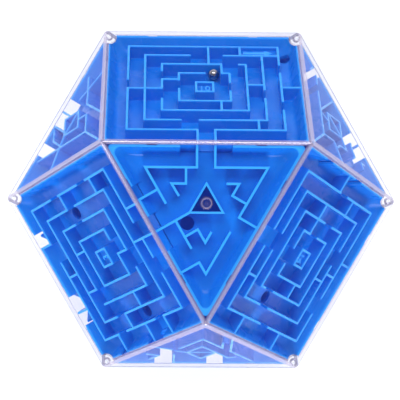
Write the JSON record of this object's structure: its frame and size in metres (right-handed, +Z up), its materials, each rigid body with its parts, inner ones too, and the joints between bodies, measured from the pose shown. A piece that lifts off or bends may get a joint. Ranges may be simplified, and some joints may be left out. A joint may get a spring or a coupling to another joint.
{
  "type": "tilt maze game",
  "caption": "Closed clear polyhedron of square and triangular faces with a blue maze tray behind each face and a small steel ball to roll through them by tilting.",
  "frame": {"origin": "middle of the bottom triangular face, on the surface that the object rests on", "axes": "+Z up, normal to the top and bottom triangles; +X through two opposite corners of the equator; +Y away from the viewer, towards the north square"},
  "size_m": [0.1398, 0.1212, 0.1143],
  "materials": {
    "clear_plastic": "clear glossy moulded polystyrene with a faint lilac edge tint",
    "blue_plastic": "glossy moulded azure blue plastic",
    "steel": "polished bearing steel"
  },
  "bodies": {
    "case": {"shell_upper": "clear_plastic", "shell_lower": "clear_plastic", "tray_north_square": "blue_plastic", "tray_south_west_square": "blue_plastic", "tray_south_east_square": "blue_plastic", "tray_top_triangle": "blue_plastic", "tray_north_east_triangle": "blue_plastic", "tray_north_west_triangle": "blue_plastic", "tray_south_triangle": "blue_plastic", "tray_low_north_east_square": "blue_plastic", "tray_low_north_west_square": "blue_plastic", "tray_low_south_square": "blue_plastic", "tray_low_north_triangle": "blue_plastic", "tray_low_south_west_triangle": "blue_plastic", "tray_low_south_east_triangle": "blue_plastic", "tray_bottom_triangle": "blue_plastic"},
    "ball": {"steel_ball": "steel"}
  },
  "joints": [
    {"name": "ball_roll", "type": "slide", "parent": "case", "child": "ball", "axis": [1, 0, 0], "range_m": [-0.0152, 0]}
  ]
}
